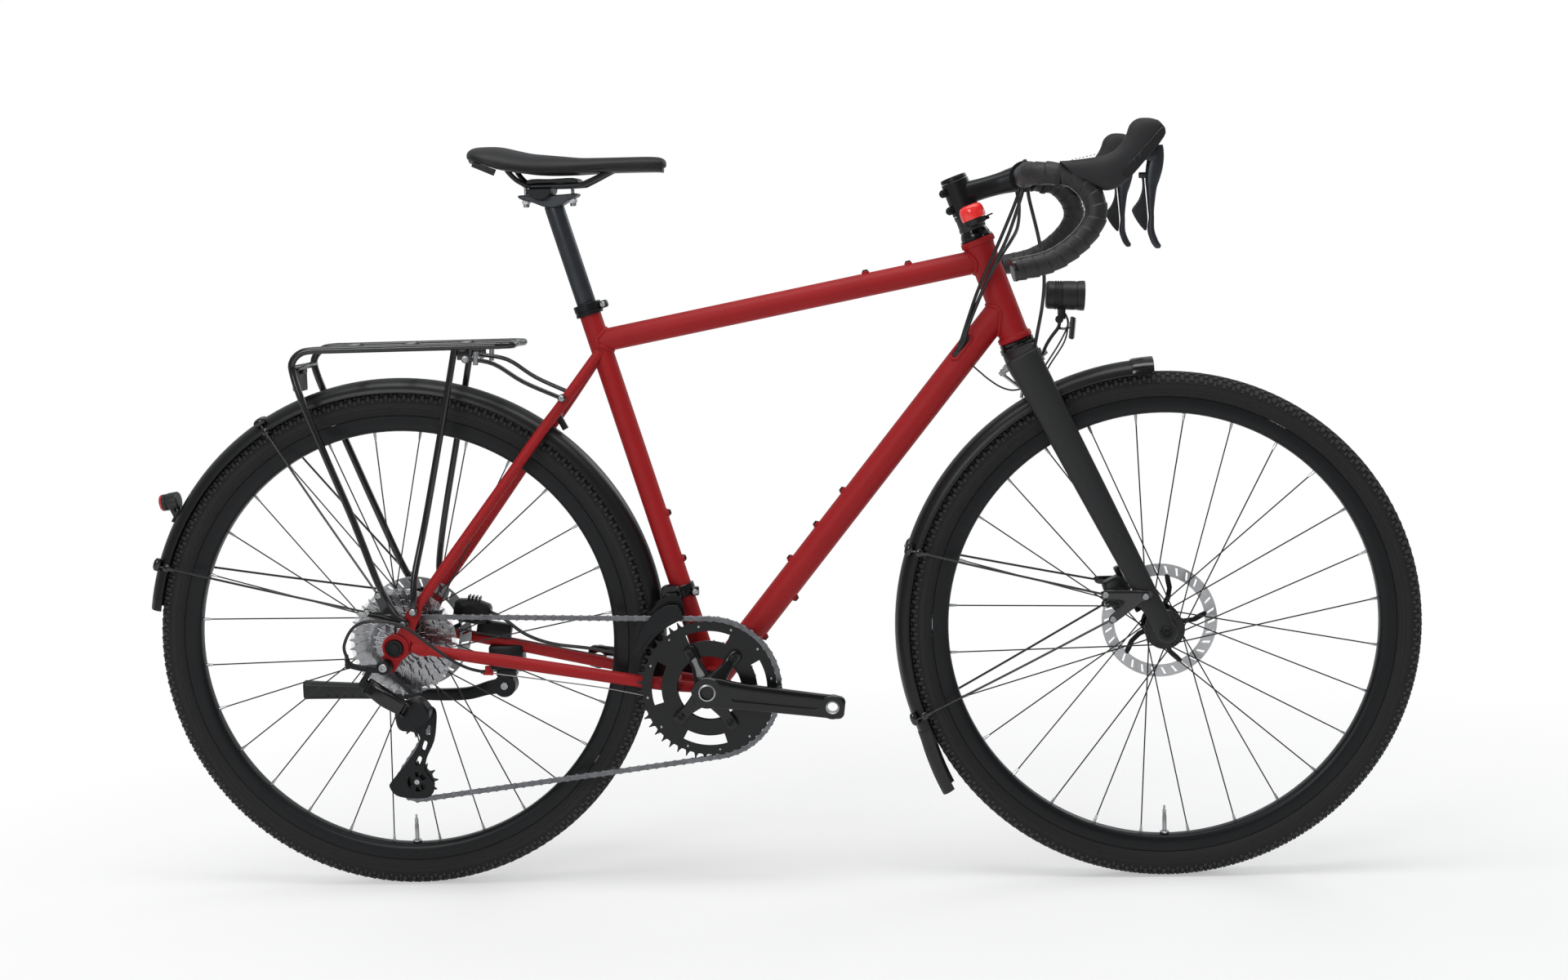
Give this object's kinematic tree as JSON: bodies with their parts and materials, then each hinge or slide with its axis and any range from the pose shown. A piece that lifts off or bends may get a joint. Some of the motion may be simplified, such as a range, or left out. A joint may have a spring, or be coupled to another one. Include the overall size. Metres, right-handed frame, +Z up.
{
  "type": "gravel bike",
  "caption": "Drop-bar gravel bicycle with disc brakes, full mudguards, rear rack, lamps, bell and folded kickstand.",
  "frame": {"origin": "on the ground under the rear axle, in the middle of the rear tyre's flat contact facet", "axes": "+X forward, from the rear axle to the front axle; +Y to the rider's left; +Z up from the ground"},
  "size_m": [1.7715, 0.5136, 1.033],
  "materials": {
    "red_powder_coat": "satin powder coat",
    "black_powder_coat": "matt powder coat",
    "black_anodised_aluminium": "black anodised",
    "grey_anodised_aluminium": "dark grey anodised",
    "bright_steel": "bright",
    "dark_steel": "oiled",
    "black_rubber": "matt",
    "tyre_rubber": "moulded tread",
    "black_plastic": "satin",
    "red_plastic": "gloss",
    "red_lens": "clear red"
  },
  "bodies": {
    "frame": {"head_tube": "red_powder_coat", "top_tube": "red_powder_coat", "down_tube": "red_powder_coat", "seat_tube": "red_powder_coat", "chain_stays": "red_powder_coat", "seat_stays": "red_powder_coat", "seat_clamp": "black_anodised_aluminium", "bottom_bracket": "black_anodised_aluminium", "rear_thru_axle": "black_anodised_aluminium", "rear_mudguard": "black_plastic", "rear_mudguard_stays": "black_powder_coat", "rear_rack": "black_powder_coat", "tail_light": "red_lens", "rear_caliper": "black_anodised_aluminium", "kickstand_bracket": "black_plastic", "front_derailleur_body": "black_anodised_aluminium", "derailleur_cable": "black_rubber", "derailleur_b_knuckle": "black_anodised_aluminium", "chain": "dark_steel"},
    "front_end": {"fork": "black_powder_coat", "stem": "black_anodised_aluminium", "handlebar": "black_anodised_aluminium", "bell": "red_plastic", "headlight_bracket": "bright_steel", "front_mudguard": "black_plastic", "front_mudguard_stays": "black_powder_coat", "front_caliper": "black_anodised_aluminium", "front_brake_hose": "black_rubber", "front_thru_axle": "black_anodised_aluminium", "control_cables": "black_rubber", "right_hood": "black_rubber", "left_hood": "black_rubber"},
    "front_wheel": {"front_tyre": "tyre_rubber", "front_rim": "black_anodised_aluminium", "front_hub": "black_anodised_aluminium", "front_rotor": "bright_steel"},
    "rear_wheel": {"rear_tyre": "tyre_rubber", "rear_rim": "black_anodised_aluminium", "rear_hub": "black_anodised_aluminium", "rear_rotor": "bright_steel"},
    "right_brake": {"right_brake_lever": "grey_anodised_aluminium"},
    "left_brake": {"left_brake_lever": "grey_anodised_aluminium"},
    "right_shift": {"right_shift_lever": "black_plastic"},
    "left_shift": {"left_shift_lever": "black_plastic"},
    "striker": {"bell_striker": "black_plastic"},
    "lamp": {"headlight": "black_plastic"},
    "seat": {"seatpost": "grey_anodised_aluminium", "saddle_rails": "dark_steel", "saddle": "black_rubber"},
    "crankset": {"right_crank": "black_anodised_aluminium", "left_crank": "black_anodised_aluminium", "chainrings": "black_anodised_aluminium"},
    "sprockets": {"cassette": "bright_steel"},
    "front_derailleur": {"front_derailleur_cage": "black_anodised_aluminium"},
    "rear_derailleur_link": {"derailleur_link": "black_anodised_aluminium"},
    "rear_derailleur_knuckle": {"derailleur_p_knuckle": "black_anodised_aluminium"},
    "rear_derailleur_cage": {"derailleur_cage": "black_anodised_aluminium"},
    "upper_pulley": {"guide_pulley": "black_plastic"},
    "lower_pulley": {"tension_pulley": "black_plastic"},
    "kickstand": {"kickstand_leg": "black_anodised_aluminium"}
  },
  "joints": [
    {"name": "steering", "type": "hinge", "parent": "frame", "child": "front_end", "pos_m": [1.01277, 0, 0.33527], "axis": [-0.342, 0, 0.9397], "range_deg": [-60, 60], "deforming": ["control_cables"]},
    {"name": "front_wheel_turn", "type": "hinge", "parent": "front_end", "child": "front_wheel", "pos_m": [1.056, 0, 0.351], "axis": [0, 1, 0], "continuous": true},
    {"name": "rear_wheel_turn", "type": "hinge", "parent": "frame", "child": "rear_wheel", "pos_m": [0, 0, 0.351], "axis": [0, 1, 0], "continuous": true},
    {"name": "right_brake_lever_pull", "type": "hinge", "parent": "front_end", "child": "right_brake", "pos_m": [1.02617, -0.212, 0.98653], "axis": [0, 1, 0], "range_deg": [0, 18], "stiffness_Nm_per_rad": 1.5, "springref_deg": -11.46},
    {"name": "left_brake_lever_pull", "type": "hinge", "parent": "front_end", "child": "left_brake", "pos_m": [1.02617, 0.212, 0.98653], "axis": [0, 1, 0], "range_deg": [0, 18], "stiffness_Nm_per_rad": 1.5, "springref_deg": -11.46},
    {"name": "right_shift_lever_push", "type": "hinge", "parent": "right_brake", "child": "right_shift", "pos_m": [1.01767, -0.212, 0.96153], "axis": [1, 0, 0], "range_deg": [0, 14], "stiffness_Nm_per_rad": 0.5, "springref_deg": -11.46},
    {"name": "left_shift_lever_push", "type": "hinge", "parent": "left_brake", "child": "left_shift", "pos_m": [1.01767, 0.212, 0.96153], "axis": [-1, 0, 0], "range_deg": [0, 14], "stiffness_Nm_per_rad": 0.5, "springref_deg": -11.46},
    {"name": "bell_striker_flick", "type": "hinge", "parent": "front_end", "child": "striker", "pos_m": [0.82571, -0.0375, 0.91793], "axis": [-0.342, 0, 0.9397], "range_deg": [0, 20], "stiffness_Nm_per_rad": 0.2, "springref_deg": -5.73},
    {"name": "headlight_tilt", "type": "hinge", "parent": "front_end", "child": "lamp", "pos_m": [0.9215, 0, 0.7755], "axis": [0, 1, 0], "range_deg": [-12, 12]},
    {"name": "seatpost_slide", "type": "slide", "parent": "frame", "child": "seat", "axis": [-0.284, 0, 0.9588], "range_m": [-0.08, 0.02]},
    {"name": "crank_turn", "type": "hinge", "parent": "frame", "child": "crankset", "pos_m": [0.431, 0, 0.283], "axis": [0, 1, 0], "continuous": true, "deforming": ["chain"]},
    {"name": "cassette_turn", "type": "hinge", "parent": "frame", "child": "sprockets", "pos_m": [0, 0, 0.351], "axis": [0, 1, 0], "continuous": true},
    {"name": "front_derailleur_slide", "type": "slide", "parent": "frame", "child": "front_derailleur", "axis": [0, 1, 0], "range_m": [0, 0.0078], "deforming": ["chain"]},
    {"name": "derailleur_link_swing", "type": "hinge", "parent": "frame", "child": "rear_derailleur_link", "pos_m": [-0.035, -0.088, 0.3], "axis": [0.5628, 0, 0.8266], "range_deg": [-22, 19], "deforming": ["chain", "derailleur_cable"]},
    {"name": "derailleur_knuckle_swing", "type": "hinge", "parent": "rear_derailleur_link", "child": "rear_derailleur_knuckle", "pos_m": [0.012, -0.088, 0.268], "axis": [0.5628, 0, 0.8266], "range_deg": [-20, 23]},
    {"name": "derailleur_cage_swing", "type": "hinge", "parent": "rear_derailleur_knuckle", "child": "rear_derailleur_cage", "pos_m": [0.0199, -0.0449, 0.259], "axis": [0, 1, 0], "range_deg": [-40, 15], "stiffness_Nm_per_rad": 1, "deforming": ["chain"]},
    {"name": "guide_pulley_turn", "type": "hinge", "parent": "rear_derailleur_cage", "child": "upper_pulley", "pos_m": [0.018, -0.0449, 0.244], "axis": [0, 1, 0], "continuous": true},
    {"name": "tension_pulley_turn", "type": "hinge", "parent": "rear_derailleur_cage", "child": "lower_pulley", "pos_m": [0.0155, -0.0449, 0.156], "axis": [0, 1, 0], "continuous": true},
    {"name": "kickstand_swing", "type": "hinge", "parent": "frame", "child": "kickstand", "pos_m": [0.125, 0.062, 0.2705], "axis": [0, -1, 0], "range_deg": [0, 125]}
  ],
  "couplings": [
    {"joint": "cassette_turn", "follows": "crank_turn", "ratio": 2.5263},
    {"joint": "guide_pulley_turn", "follows": "crank_turn", "ratio": -4.3636},
    {"joint": "tension_pulley_turn", "follows": "crank_turn", "ratio": 3.6923},
    {"joint": "derailleur_knuckle_swing", "follows": "derailleur_link_swing", "ratio": -1}
  ]
}
